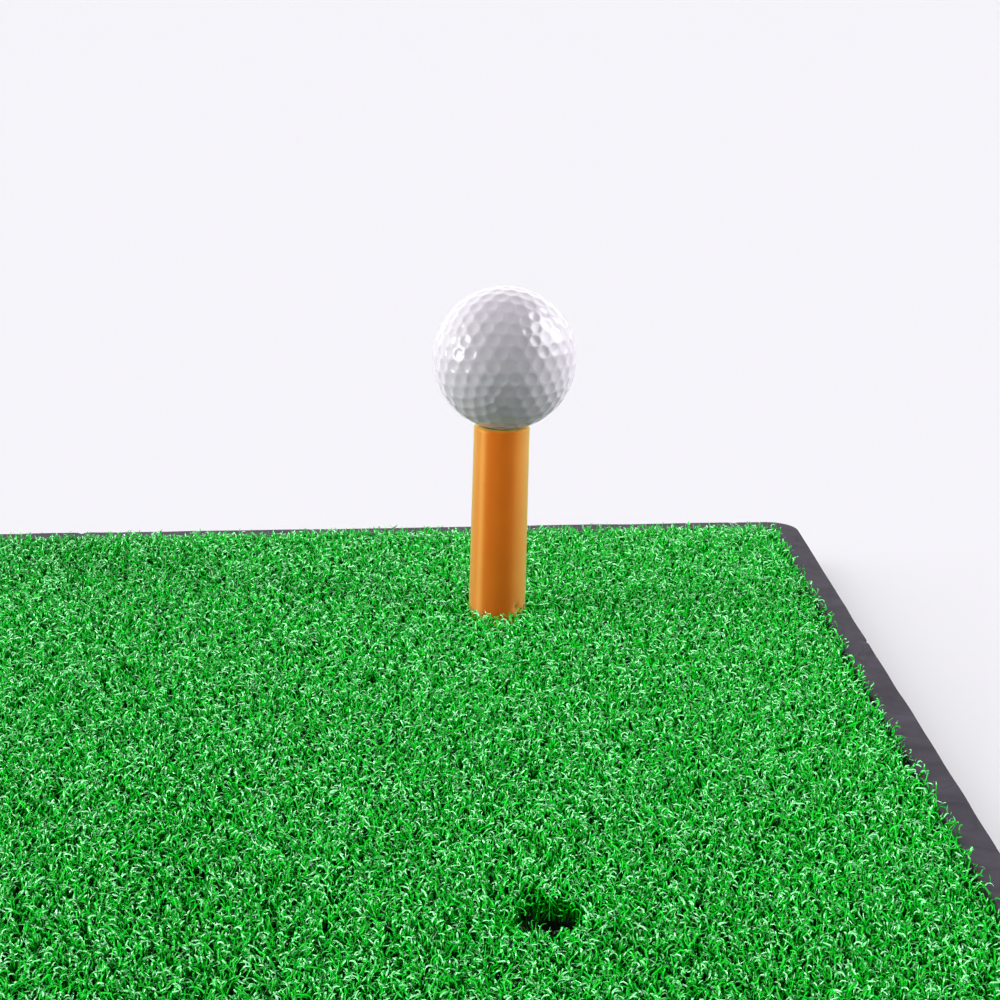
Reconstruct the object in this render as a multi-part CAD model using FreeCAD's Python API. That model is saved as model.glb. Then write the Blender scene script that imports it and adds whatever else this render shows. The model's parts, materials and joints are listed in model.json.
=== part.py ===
import FreeCAD, Part
import math
import os

# Golf hitting mat: a rubber tray holding a sheet of tufted turf, with two tee holes
# punched through it, a moulded rubber tee standing in the rear hole, and a two-piece
# golf ball on the tee. Millimetres, +Z up. The origin is the middle of the underside,
# +X runs along the long side, and +Y runs from the front tee hole to the rear one.

Vector = FreeCAD.Vector
UP = Vector(0, 0, 1)

# Rubber tray
MAT_LENGTH = 600.0
MAT_WIDTH = 400.0
CORNER_RADIUS = 10.0
RIM_HEIGHT = 13.0
RIM_WIDTH = 9.0
RIM_OUTER_ROUND = 1.6
RIM_INNER_ROUND = 0.8
UNDERSIDE_CHAMFER = 0.6
TRAY_FLOOR = 6.0
POCKET_CORNER_RADIUS = 2.0

# Turf sheet, layer by layer from the glue line up
TURF_EDGE_GAP = 0.3
ADHESIVE_THICKNESS = 0.4
LATEX_THICKNESS = 1.4
WOVEN_THICKNESS = 0.6
PILE_HEIGHT = 5.6
TURF_TOP = TRAY_FLOOR + ADHESIVE_THICKNESS + LATEX_THICKNESS + WOVEN_THICKNESS + PILE_HEIGHT

# Tee holes, with a round pocket under each one for the tee's flange
HOLE_X = 192.0
HOLE_Y = 106.0
HOLE_RADIUS = 8.7
FLANGE_POCKET_RADIUS = 21.0
FLANGE_POCKET_DEPTH = 3.4

# Rubber tee: flange and stem below the bend, shaft with the ball seat above it
FLANGE_RADIUS = 20.0
FLANGE_CLEARANCE = 0.3
FLANGE_EDGE_ROUND = 0.8
STEM_RADIUS = 8.6
STEM_BORE_TOP = 20.0
SHAFT_FOOT_RADIUS = 8.5
SHAFT_TOP_RADIUS = 8.35
TEE_BORE_RADIUS = 5.2
TEE_HEIGHT_OVER_TURF = 58.0
TEE_TOP = TURF_TOP + TEE_HEIGHT_OVER_TURF
SHAFT_BORE_OVER_BEND = 12.0
LIP_OUTER_ROUND = 0.8
SEAT_CHAMFER = 1.3

# Bend of the tee: a round core in a matching socket, with a V-shaped gap around it
BEND_OVER_TURF = 20.0
BEND_HEIGHT = TURF_TOP + BEND_OVER_TURF
BEND_LIMIT_DEG = 70.0
BEND_SPARE_DEG = 4.0
CORE_RADIUS = 4.6
CORE_GAP = 0.3

# The soft tee has taken a slight set, so above the bend it leans towards +X
TEE_SET_DEG = 2.3

# Golf ball
BALL_RADIUS = 42.67 / 2
BALL_COVER_THICKNESS = 1.6
BALL_SEAT_GAP = 0.2
SEAT_RADIUS = TEE_BORE_RADIUS + SEAT_CHAMFER
BALL_HEIGHT = TEE_TOP + math.sqrt(BALL_RADIUS**2 - SEAT_RADIUS**2) + BALL_SEAT_GAP


def rounded_plate(length, width, corner, bottom, top):
    """An upright prism with a rounded rectangular outline, centred on the origin."""
    half_x = length / 2
    half_y = width / 2
    inner_x = half_x - corner
    inner_y = half_y - corner
    sides = [
        ((-inner_x, -half_y), (inner_x, -half_y)),
        ((half_x, -inner_y), (half_x, inner_y)),
        ((inner_x, half_y), (-inner_x, half_y)),
        ((-half_x, inner_y), (-half_x, -inner_y)),
    ]
    corner_centres = [(inner_x, -inner_y), (inner_x, inner_y), (-inner_x, inner_y), (-inner_x, -inner_y)]
    edges = []
    for index, (start, end) in enumerate(sides):
        edges.append(Part.makeLine(Vector(*start, bottom), Vector(*end, bottom)))
        centre = Vector(*corner_centres[index], bottom)
        first_angle = 270 + 90 * index
        edges.append(Part.makeCircle(corner, centre, UP, first_angle, first_angle + 90))
    outline = Part.Wire(Part.__sortEdges__(edges))
    return Part.Face(outline).extrude(Vector(0, 0, top - bottom))


def upright_cylinder(radius, bottom, top, x=0.0, y=0.0):
    return Part.makeCylinder(radius, top - bottom, Vector(x, y, bottom), UP)


def edges_at_height(solid, height):
    """The edges of a solid that lie flat at one height."""
    flat = []
    for edge in solid.Edges:
        box = edge.BoundBox
        if abs(box.ZMin - height) < 1e-6 and abs(box.ZMax - height) < 1e-6:
            flat.append(edge)
    return flat


def tee_hole_cutters(bottom, top):
    """The punch through the turf and the tray at both tee holes."""
    return [upright_cylinder(HOLE_RADIUS, bottom, top, HOLE_X, side * HOLE_Y) for side in (-1, 1)]


def pocket_mouth_edges(tray):
    """The edges around the mouth of the tray's pocket, which lie inside the rim's flat top."""
    reach_x = MAT_LENGTH / 2 - RIM_WIDTH / 2
    reach_y = MAT_WIDTH / 2 - RIM_WIDTH / 2
    mouth = []
    for edge in edges_at_height(tray, RIM_HEIGHT):
        middle = edge.BoundBox.Center
        if abs(middle.x) < reach_x and abs(middle.y) < reach_y:
            mouth.append(edge)
    return mouth


def rubber_base():
    """The tray: a flat floor with a raised rim, tee holes and flange pockets."""
    tray = rounded_plate(MAT_LENGTH, MAT_WIDTH, CORNER_RADIUS, 0.0, RIM_HEIGHT)
    tray = tray.makeFillet(RIM_OUTER_ROUND, edges_at_height(tray, RIM_HEIGHT))
    tray = tray.makeChamfer(UNDERSIDE_CHAMFER, edges_at_height(tray, 0.0))
    pocket = rounded_plate(
        MAT_LENGTH - 2 * RIM_WIDTH,
        MAT_WIDTH - 2 * RIM_WIDTH,
        POCKET_CORNER_RADIUS,
        TRAY_FLOOR,
        RIM_HEIGHT + 1.0,
    )
    tray = tray.cut(pocket)
    tray = tray.makeFillet(RIM_INNER_ROUND, pocket_mouth_edges(tray))
    for cutter in tee_hole_cutters(-1.0, TRAY_FLOOR + 1.0):
        tray = tray.cut(cutter)
    for side in (-1, 1):
        flange_pocket = upright_cylinder(
            FLANGE_POCKET_RADIUS, -1.0, FLANGE_POCKET_DEPTH, HOLE_X, side * HOLE_Y
        )
        tray = tray.cut(flange_pocket)
    return tray


def turf_layer(bottom, thickness):
    """One full-size layer of the turf sheet, punched at both tee holes."""
    trim = 2 * (RIM_WIDTH + TURF_EDGE_GAP)
    layer = rounded_plate(
        MAT_LENGTH - trim,
        MAT_WIDTH - trim,
        POCKET_CORNER_RADIUS - TURF_EDGE_GAP,
        bottom,
        bottom + thickness,
    )
    for cutter in tee_hole_cutters(bottom - 1.0, bottom + thickness + 1.0):
        layer = layer.cut(cutter)
    return layer


def turf_layers():
    """The turf sheet's layers by name, stacked without gaps on the tray's floor."""
    stack = (
        ("adhesive_film", ADHESIVE_THICKNESS),
        ("latex_backing", LATEX_THICKNESS),
        ("woven_backing", WOVEN_THICKNESS),
        ("turf_pile", PILE_HEIGHT),
    )
    layers = {}
    height = TRAY_FLOOR
    for name, thickness in stack:
        layers[name] = turf_layer(height, thickness)
        height += thickness
    return layers


def revolved(points, x, y):
    """A solid of revolution about a vertical axis at x, y from (radius, height) points."""
    corners = [Vector(radius, 0, height) for radius, height in points]
    profile = Part.Face(Part.makePolygon(corners + corners[:1]))
    solid = profile.revolve(Vector(0, 0, 0), UP, 360)
    solid.translate(Vector(x, y, 0))
    return solid


def bend_slope():
    """The slope of each side of the V gap, so that the two sides never meet in use."""
    return math.tan(math.radians((BEND_LIMIT_DEG + BEND_SPARE_DEG) / 2))


def tee_foot():
    """The flange, the stem through the mat, and the round core that the tee bends on."""
    flange_bottom = FLANGE_CLEARANCE
    flange_top = FLANGE_POCKET_DEPTH - FLANGE_CLEARANCE
    flange = upright_cylinder(FLANGE_RADIUS, flange_bottom, flange_top, HOLE_X, HOLE_Y)
    flange = flange.makeFillet(FLANGE_EDGE_ROUND, edges_at_height(flange, flange_top))
    shoulder = BEND_HEIGHT - STEM_RADIUS * bend_slope()
    stem = revolved(
        [(0, flange_bottom), (STEM_RADIUS, flange_bottom), (STEM_RADIUS, shoulder), (0, BEND_HEIGHT)],
        HOLE_X,
        HOLE_Y,
    )
    core = Part.makeSphere(CORE_RADIUS, Vector(HOLE_X, HOLE_Y, BEND_HEIGHT))
    bore = upright_cylinder(TEE_BORE_RADIUS, flange_bottom - 1.0, STEM_BORE_TOP, HOLE_X, HOLE_Y)
    return flange.fuse([stem, core]).cut(bore).removeSplitter()


def with_set(shape):
    """The shape turned about the bend by the tee's set."""
    shape.rotate(Vector(HOLE_X, HOLE_Y, BEND_HEIGHT), Vector(0, 1, 0), TEE_SET_DEG)
    return shape


def tee_shaft():
    """The upper tube of the tee, with its socket over the core and the ball seat on top."""
    cone_rise = SHAFT_FOOT_RADIUS * bend_slope()
    shaft = revolved(
        [
            (0, BEND_HEIGHT),
            (SHAFT_FOOT_RADIUS, BEND_HEIGHT + cone_rise),
            (SHAFT_TOP_RADIUS, TEE_TOP - LIP_OUTER_ROUND),
            (SHAFT_TOP_RADIUS - LIP_OUTER_ROUND, TEE_TOP),
            (SEAT_RADIUS, TEE_TOP),
            (TEE_BORE_RADIUS, TEE_TOP - SEAT_CHAMFER),
            (TEE_BORE_RADIUS, BEND_HEIGHT + SHAFT_BORE_OVER_BEND),
            (0, BEND_HEIGHT + SHAFT_BORE_OVER_BEND),
        ],
        HOLE_X,
        HOLE_Y,
    )
    socket = Part.makeSphere(CORE_RADIUS + CORE_GAP, Vector(HOLE_X, HOLE_Y, BEND_HEIGHT))
    return with_set(shaft.cut(socket))


def golf_ball():
    """The ball's rubber core and the moulded cover around it."""
    centre = Vector(HOLE_X, HOLE_Y, BALL_HEIGHT)
    core = Part.makeSphere(BALL_RADIUS - BALL_COVER_THICKNESS, centre)
    cover = Part.makeSphere(BALL_RADIUS, centre).cut(core)
    return {"ball_core": with_set(core), "ball_cover": with_set(cover)}


def sub_parts():
    nodes = {"rubber_base": rubber_base()}
    nodes.update(turf_layers())
    nodes["tee_foot"] = tee_foot()
    nodes["tee_shaft"] = tee_shaft()
    nodes.update(golf_ball())
    return nodes


os.makedirs("parts", exist_ok=True)
for node_name, shape in sub_parts().items():
    shape.exportStep("parts/" + node_name + ".step")
    print(node_name, "valid", shape.isValid(), "solids", len(shape.Solids), "volume", round(shape.Volume, 1))
print("turf top", TURF_TOP, "bend", BEND_HEIGHT)
print("straight tee top", TEE_TOP, "straight ball", round(BALL_HEIGHT, 3))
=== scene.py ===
import itertools
import json
import math

import bmesh
import bpy
import numpy as np
from mathutils import Matrix, Vector


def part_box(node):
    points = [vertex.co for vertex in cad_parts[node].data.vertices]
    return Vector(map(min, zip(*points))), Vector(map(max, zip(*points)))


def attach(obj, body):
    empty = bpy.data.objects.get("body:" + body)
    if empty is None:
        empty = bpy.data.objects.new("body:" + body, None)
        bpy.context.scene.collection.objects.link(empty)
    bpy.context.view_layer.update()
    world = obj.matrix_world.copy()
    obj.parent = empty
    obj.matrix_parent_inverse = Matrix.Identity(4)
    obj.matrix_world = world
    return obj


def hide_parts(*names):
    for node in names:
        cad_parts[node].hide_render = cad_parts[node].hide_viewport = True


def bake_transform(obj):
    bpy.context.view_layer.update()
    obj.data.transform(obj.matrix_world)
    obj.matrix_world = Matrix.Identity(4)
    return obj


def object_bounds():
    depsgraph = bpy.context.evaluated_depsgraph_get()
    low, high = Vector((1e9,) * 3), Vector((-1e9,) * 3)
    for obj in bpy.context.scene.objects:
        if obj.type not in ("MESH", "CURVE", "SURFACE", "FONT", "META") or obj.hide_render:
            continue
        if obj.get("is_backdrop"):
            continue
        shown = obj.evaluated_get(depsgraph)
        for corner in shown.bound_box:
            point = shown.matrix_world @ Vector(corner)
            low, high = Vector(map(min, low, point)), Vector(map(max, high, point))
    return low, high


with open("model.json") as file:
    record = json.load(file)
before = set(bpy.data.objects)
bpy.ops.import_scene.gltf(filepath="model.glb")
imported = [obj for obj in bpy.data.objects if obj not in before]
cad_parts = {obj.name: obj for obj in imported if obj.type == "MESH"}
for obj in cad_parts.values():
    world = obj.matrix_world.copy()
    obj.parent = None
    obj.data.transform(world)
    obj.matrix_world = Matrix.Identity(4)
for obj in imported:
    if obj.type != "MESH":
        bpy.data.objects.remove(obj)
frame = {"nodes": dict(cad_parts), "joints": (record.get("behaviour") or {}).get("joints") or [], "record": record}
cad_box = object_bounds()

MM = 0.001
SEED = 7

# ---- Places and sizes, read from the frame ----

JOINTS = {joint["name"]: joint for joint in frame["joints"]}
MOUNTS = {mount["name"]: mount for mount in frame["record"]["mounts"]}

TRAY_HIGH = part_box("rubber_base")[1]
PILE_LOW, PILE_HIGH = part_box("turf_pile")
FOOT_LOW, FOOT_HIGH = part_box("tee_foot")
BALL_LOW, BALL_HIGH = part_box("ball_cover")

RIM_TOP = TRAY_HIGH.z
TURF_TOP = PILE_HIGH.z
TURF_FLOOR = PILE_LOW.z
BALL_RADIUS = (BALL_HIGH.y - BALL_LOW.y) / 2
BALL_CENTRE = (BALL_LOW + BALL_HIGH) / 2
TEE_PLACE = Vector(JOINTS["tee_bend"]["pos_m"])
VACANT_PLACE = Vector(MOUNTS["vacant_tee_hole"]["pos_m"])
HOLE_RADIUS = MOUNTS["vacant_tee_hole"]["dims"]["r_mm"] * MM


# ---- Mesh and material helpers ----


def link(obj):
    bpy.context.scene.collection.objects.link(obj)
    return obj


def mesh_from_arrays(name, points, quads, slots=None, normals=None):
    """A mesh object from numpy arrays of points and of four-cornered faces."""
    mesh = bpy.data.meshes.new(name)
    mesh.vertices.add(len(points))
    mesh.vertices.foreach_set("co", np.asarray(points, np.float32).ravel())
    mesh.loops.add(quads.size)
    mesh.loops.foreach_set("vertex_index", quads.ravel().astype(np.int32))
    mesh.polygons.add(len(quads))
    mesh.polygons.foreach_set("loop_start", np.arange(0, quads.size, 4, dtype=np.int32))
    if slots is not None:
        mesh.polygons.foreach_set("material_index", slots.astype(np.int32))
    mesh.polygons.foreach_set("use_smooth", np.full(len(quads), True))
    mesh.update(calc_edges=True)
    mesh.validate()
    if normals is not None:
        attribute = mesh.attributes.new("custom_normal", "FLOAT_VECTOR", "POINT")
        attribute.data.foreach_set("vector", np.asarray(normals, np.float32).ravel())
    return link(bpy.data.objects.new(name, mesh))


def finished(work, name, sharp_deg=None):
    """A smooth mesh object from a bmesh, with edges marked sharp where they turn by more than that."""
    bmesh.ops.recalc_face_normals(work, faces=work.faces)
    mesh = bpy.data.meshes.new(name)
    work.to_mesh(mesh)
    work.free()
    mesh.polygons.foreach_set("use_smooth", np.full(len(mesh.polygons), True))
    if sharp_deg:
        mesh.set_sharp_from_angle(angle=math.radians(sharp_deg))
    return link(bpy.data.objects.new(name, mesh))


def add_ring(work, points):
    return [work.verts.new(tuple(point)) for point in points]


def circle(work, place, radius, height, segments):
    angles = np.linspace(0, 2 * math.pi, segments, endpoint=False)
    x = place.x + radius * np.cos(angles)
    y = place.y + radius * np.sin(angles)
    return add_ring(work, np.column_stack([x, y, np.full(segments, height)]))


def join_rings(work, first, second):
    total = len(first)
    for index in range(total):
        following = (index + 1) % total
        work.faces.new((first[index], first[following], second[following], second[index]))


def new_material(name, color, roughness, **sockets):
    """A material with one Principled shader. Returns both."""
    material = bpy.data.materials.new(name)
    material.use_nodes = True
    shader = material.node_tree.nodes["Principled BSDF"]
    shader.inputs["Base Color"].default_value = (*color, 1.0)
    shader.inputs["Roughness"].default_value = roughness
    for socket, value in sockets.items():
        shader.inputs[socket.replace("_", " ")].default_value = value
    return material, shader


def add_node(owner, kind, **inputs):
    """A shader node of a material or of the sky."""
    node = owner.node_tree.nodes.new(kind)
    for socket, value in inputs.items():
        node.inputs[socket.replace("_", " ")].default_value = value
    return node


def connect(owner, output, target):
    owner.node_tree.links.new(output, target)


def feed(owner, socket, value):
    """Gives a socket its value, which is a node's output or a plain number or colour."""
    if isinstance(value, bpy.types.NodeSocket):
        connect(owner, value, socket)
    else:
        socket.default_value = value


def math_node(owner, operation, first, second=None):
    node = add_node(owner, "ShaderNodeMath")
    node.operation = operation
    feed(owner, node.inputs[0], first)
    if second is not None:
        feed(owner, node.inputs[1], second)
    return node.outputs[0]


def vector_math(owner, operation, first, second):
    """The number that a vector operation gives."""
    node = add_node(owner, "ShaderNodeVectorMath")
    node.operation = operation
    feed(owner, node.inputs[0], first)
    feed(owner, node.inputs[1], second)
    return node.outputs["Value"]


def object_place(material):
    return add_node(material, "ShaderNodeTexCoord").outputs["Object"]


def stored(material, name, output):
    """What a mesh attribute holds."""
    node = add_node(material, "ShaderNodeAttribute")
    node.attribute_name = name
    return node.outputs[output]


def noise(material, place, **inputs):
    node = add_node(material, "ShaderNodeTexNoise", **inputs)
    connect(material, place, node.inputs["Vector"])
    return node.outputs["Fac"]


def remap(owner, value, from_range, to_range, interpolation="LINEAR"):
    """A value taken from one range to another, and held inside it."""
    node = add_node(owner, "ShaderNodeMapRange")
    node.interpolation_type = interpolation
    numbers = (*from_range, *to_range)
    for socket, number in zip(("From Min", "From Max", "To Min", "To Max"), numbers):
        node.inputs[socket].default_value = number
    connect(owner, value, node.inputs["Value"])
    return node.outputs["Result"]


def ramp(material, value, *stops):
    """A colour ramp through its stops, each a position and a colour."""
    node = add_node(material, "ShaderNodeValToRGB")
    elements = node.color_ramp.elements
    for index in (0, -1):
        elements[index].position = stops[index][0]
        elements[index].color = (*stops[index][1], 1)
    for position, color in stops[1:-1]:
        elements.new(position).color = (*color, 1)
    connect(material, value, node.inputs["Fac"])
    return node.outputs["Color"]


def multiplied(material, first, second, share=1.0):
    """First times second, mixed in by a share."""
    node = add_node(material, "ShaderNodeMix")
    node.data_type = "RGBA"
    node.blend_type = "MULTIPLY"
    for index, value in ((0, share), (6, first), (7, second)):
        feed(material, node.inputs[index], value)
    return node.outputs[2]


def add_bump(material, shader, height, strength, distance):
    bump = add_node(material, "ShaderNodeBump", Strength=strength, Distance=distance)
    connect(material, height, bump.inputs["Height"])
    connect(material, bump.outputs["Normal"], shader.inputs["Normal"])


# ---- Turf: curled fibres in tufts ----

TUFT_GAUGE = 2.2 * MM
STRANDS_PER_TUFT = 5
STRAND_STEPS = 7
STEP_LENGTH = 0.56 * MM
STEP_TURN_DEG = 26
STEP_TURN_SPREAD_DEG = 13
FLIP_SHARE = 0.22
STRAND_WIDTH = 0.40 * MM
STRAND_ROUND_DEG = 55
CROWN_HEIGHT = TURF_TOP + 0.7 * MM
CROWN_SPREAD = 0.65 * MM
HIGHEST_TIP = TURF_TOP + 2.4 * MM
RIM_CLEARANCE = 0.25 * MM
ROOT_CLEARANCE = 0.25 * MM
TEE_CLEARANCE = 0.15 * MM
EDGE_DROP = 0.6 * MM
FAR_DROP = 1.5 * MM
FAR_REACH = 7 * MM
HOOK_RISE = 1.0 * MM
EDGE_SPLAY = 3 * MM
EDGE_REACH = 2.0 * MM
PATCHES_X = 6
PATCHES_Y = 4
EDGE_MARGIN = 0.3 * MM
HOLE_CURLS = 90
CURL_HEIGHTS_MM = (2.8, 6.2)
CURL_REACH_MM = (-1.3, 1.5)
RAGGED_MM = (-0.1, 1.2)
SHADE_DEPTHS = (0.50, 0.70)
STRAY_KNOTS = 15
STRAY_WIDTH = 0.6 * STRAND_WIDTH
TUFT_JITTER = 0.22 * TUFT_GAUGE
ROOT_JITTER = 0.30 * TUFT_GAUGE
# Share of strands whose topmost faces take the pale green, a painted highlight.
PAINTED_HIGHLIGHT_SHARE = 0.55

# Fibre greens, from the painted shade at the foot of the pile to the pale green that paints a highlight on tips
# and colours the stray fibres: colour, roughness, gloss
TURF_GREENS = (
    ("turf_shade", (0.0001, 0.060, 0.0004), 0.60, 0.00),
    ("turf_leaf", (0.0002, 0.195, 0.0020), 0.38, 0.12),
    ("turf_bright", (0.0015, 0.255, 0.0075), 0.38, 0.12),
    ("turf_cool", (0.0005, 0.225, 0.0085), 0.38, 0.12),
    ("turf_pale_and_painted_highlight", (0.0820, 0.375, 0.1160), 0.38, 0.90),
)

# Stray fibres lying on the pile: start, length and slot
STRAY_FIBRES = (
    (0.2535, -0.0925, 5.0 * MM, 4),
    (0.2562, -0.0900, 4.2 * MM, 4),
    (0.1780, -0.1530, 5.5 * MM, 2),
    (0.0650, 0.0150, 4.0 * MM, 4),
    (-0.0900, -0.0600, 5.0 * MM, 4),
    (-0.2100, 0.1200, 4.5 * MM, 4),
)


def turf_materials():
    materials = []
    for name, color, roughness, shine in TURF_GREENS:
        material, shader = new_material(name, color, roughness, IOR=1.5, Specular_IOR_Level=shine)
        gloss = noise(material, object_place(material), Scale=700.0, Detail=2.0)
        level = remap(material, gloss, (0.35, 0.65), (0.6 * shine, 1.4 * shine))
        connect(material, level, shader.inputs["Specular IOR Level"])
        materials.append(material)
    return materials


def clouds(x, y, rng, wavelengths, waves=7):
    """A smooth random field over the mat, roughly from -1 to 1, built from plane waves."""
    field = np.zeros_like(x)
    for wavelength in wavelengths:
        for _ in range(waves):
            turn = rng.uniform(0, 2 * math.pi)
            pace = 2 * math.pi / (wavelength * rng.uniform(0.7, 1.4))
            phase = rng.uniform(0, 2 * math.pi)
            field += np.sin((x * math.cos(turn) + y * math.sin(turn)) * pace + phase)
    return field / math.sqrt(waves * len(wavelengths) * 2)


def tuft_roots(rng):
    """The places where strands leave the backing: jittered rows of tufts, clear of the holes."""
    low_x = PILE_LOW.x + EDGE_MARGIN
    low_y = PILE_LOW.y + EDGE_MARGIN
    columns = int((PILE_HIGH.x - EDGE_MARGIN - low_x) / TUFT_GAUGE)
    rows = int((PILE_HIGH.y - EDGE_MARGIN - low_y) / TUFT_GAUGE)
    column, row = np.meshgrid(np.arange(columns + 1), np.arange(rows + 1))
    tufts = np.stack([low_x + column.ravel() * TUFT_GAUGE, low_y + row.ravel() * TUFT_GAUGE], 1)
    tufts = tufts + rng.normal(0, TUFT_JITTER, tufts.shape)
    tuft = np.repeat(np.arange(len(tufts)), STRANDS_PER_TUFT)
    roots = tufts[tuft] + rng.normal(0, ROOT_JITTER, (len(tuft), 2))
    roots[:, 0] = np.clip(roots[:, 0], low_x, PILE_HIGH.x - EDGE_MARGIN)
    roots[:, 1] = np.clip(roots[:, 1], low_y, PILE_HIGH.y - EDGE_MARGIN)
    keep = np.ones(len(roots), bool)
    for place in (TEE_PLACE, VACANT_PLACE):
        distance = np.hypot(roots[:, 0] - place.x, roots[:, 1] - place.y)
        keep &= distance > HOLE_RADIUS + ROOT_CLEARANCE
    return roots[keep], tuft[keep]


def unit(vectors):
    return vectors / np.maximum(np.linalg.norm(vectors, axis=-1, keepdims=True), 1e-9)


def random_directions(rng, count):
    return unit(rng.normal(0, 1, (count, 3)))


def edge_pull(roots, rng):
    """How strands lean at the turf's edges, outwards over the rim and into the vacant hole."""
    pull = np.zeros((len(roots), 3))
    for axis, (low, high) in enumerate(((PILE_LOW.x, PILE_HIGH.x), (PILE_LOW.y, PILE_HIGH.y))):
        pull[:, axis] += np.clip(1 - (high - roots[:, axis]) / EDGE_SPLAY, 0, 1)
        pull[:, axis] -= np.clip(1 - (roots[:, axis] - low) / EDGE_SPLAY, 0, 1)
    away = roots - np.array([VACANT_PLACE.x, VACANT_PLACE.y])
    distance = np.linalg.norm(away, axis=1)
    near = np.clip(1 - (distance - HOLE_RADIUS) / EDGE_SPLAY, 0, 1)
    pull[:, :2] -= away / distance[:, None] * near[:, None]
    return pull * rng.uniform(0.0, 1.0, (len(roots), 1))


def grow_strands(roots, rng):
    """Each strand's line, as points from its root: a stalk, and a tight hook in any direction."""
    count = len(roots)
    crown = CROWN_HEIGHT + CROWN_SPREAD * rng.normal(0, 1, count).clip(-2.2, 2.0)
    crown += 0.35 * MM * clouds(roots[:, 0], roots[:, 1], rng, (0.012, 0.035))
    lean = np.stack([clouds(roots[:, 0], roots[:, 1], rng, (0.02, 0.06)) for _ in range(2)], 1)
    pull = edge_pull(roots, rng)
    crown -= EDGE_DROP * np.linalg.norm(pull, axis=1)
    far = np.clip(1 - (PILE_HIGH.y - roots[:, 1]) / FAR_REACH, 0, 1)
    crown -= FAR_DROP * far
    pull[:, 1] -= 0.8 * np.maximum(pull[:, 1], 0) * (far > 0)
    stalk = np.zeros((count, 3))
    stalk[:, :2] = rng.normal(0, 0.30, (count, 2)) + 0.10 * lean + 0.45 * pull[:, :2]
    stalk[:, 2] = 1
    rise = crown - HOOK_RISE - TURF_FLOOR
    line = np.zeros((count, STRAND_STEPS + 1, 3))
    line[:, 0, :2] = roots
    line[:, 0, 2] = TURF_FLOOR
    line[:, 1] = line[:, 0] + stalk * rise[:, None]
    direction = unit(unit(stalk) + 0.75 * random_directions(rng, count) + 0.6 * pull)
    axis = unit(np.cross(direction, random_directions(rng, count)))
    turn = np.radians(rng.normal(STEP_TURN_DEG, STEP_TURN_SPREAD_DEG, count))
    turn *= rng.choice((-1, 1), count)
    step = STEP_LENGTH * rng.uniform(0.75, 1.25, count)
    for index in range(1, STRAND_STEPS):
        line[:, index + 1] = line[:, index] + direction * step[:, None]
        flip = rng.random(count) < FLIP_SHARE
        turn = np.where(flip, -turn, turn)
        axis = unit(axis + 0.45 * random_directions(rng, count))
        direction = unit(direction + np.cross(axis, direction) * np.tan(turn)[:, None])
        low = line[:, index + 1, 2] < crown - 2.2 * HOOK_RISE
        direction[low, 2] = np.abs(direction[low, 2])
    return line


def keep_in_place(line, rng):
    """Moves strand points out of the rim and the tee, and off most of the vacant hole."""
    x, y, z = line[..., 0], line[..., 1], line[..., 2]
    np.minimum(z, HIGHEST_TIP, out=z)
    np.maximum(z, TURF_FLOOR, out=z)
    z[:, 0] = TURF_FLOOR
    for values, low, high in ((x, PILE_LOW.x, PILE_HIGH.x), (y, PILE_LOW.y, PILE_HIGH.y)):
        np.clip(values, low - EDGE_REACH, high + EDGE_REACH, out=values)
        outside = (values > high) | (values < low)
        buried = outside & (z < RIM_TOP - 0.8 * MM)
        values[buried] = np.clip(values[buried], low, high)
        resting = outside & ~buried & (z < RIM_TOP + RIM_CLEARANCE)
        z[resting] = RIM_TOP + RIM_CLEARANCE
    ragged = HOLE_RADIUS - rng.uniform(*RAGGED_MM, len(line))[:, None] * MM
    snug = np.full((len(line), 1), HOLE_RADIUS + TEE_CLEARANCE)
    for place, radius in ((TEE_PLACE, snug), (VACANT_PLACE, ragged)):
        away_x = x - place.x
        away_y = y - place.y
        distance = np.maximum(np.hypot(away_x, away_y), 0.01 * MM)
        push = np.maximum(radius / distance, 1.0)
        x[...] = place.x + away_x * push
        y[...] = place.y + away_y * push
    return line


def ribbons(line, strand_width, rng):
    """Ribbons along the strands: points, four-cornered faces, and the normals of a rounded strand."""
    count, knots, _ = line.shape
    along = unit(np.gradient(line, axis=1))
    guide = random_directions(rng, count)
    across = np.zeros_like(line)
    for index in range(knots):
        guide = guide - along[:, index] * np.sum(guide * along[:, index], 1, keepdims=True)
        guide = unit(guide)
        across[:, index] = guide
        guide = guide + 0.35 * random_directions(rng, count)
    share = np.linspace(0, 1, knots)
    taper = np.where(share < 0.8, 1.0, 1.0 - 0.45 * (share - 0.8) / 0.2)
    width = strand_width * rng.uniform(0.7, 1.25, count)[:, None] * taper[None, :]
    half = across * width[..., None] / 2
    points = np.stack([line - half, line + half], 2).reshape(-1, 3)
    facing = np.cross(across, along) * math.cos(math.radians(STRAND_ROUND_DEG))
    aside = across * math.sin(math.radians(STRAND_ROUND_DEG))
    normals = np.stack([facing - aside, facing + aside], 2).reshape(-1, 3)
    base = (np.arange(count) * knots)[:, None] + np.arange(knots - 1)[None, :]
    base = base.ravel() * 2
    quads = np.stack([base, base + 1, base + 3, base + 2], 1)
    return points, quads, normals


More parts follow.
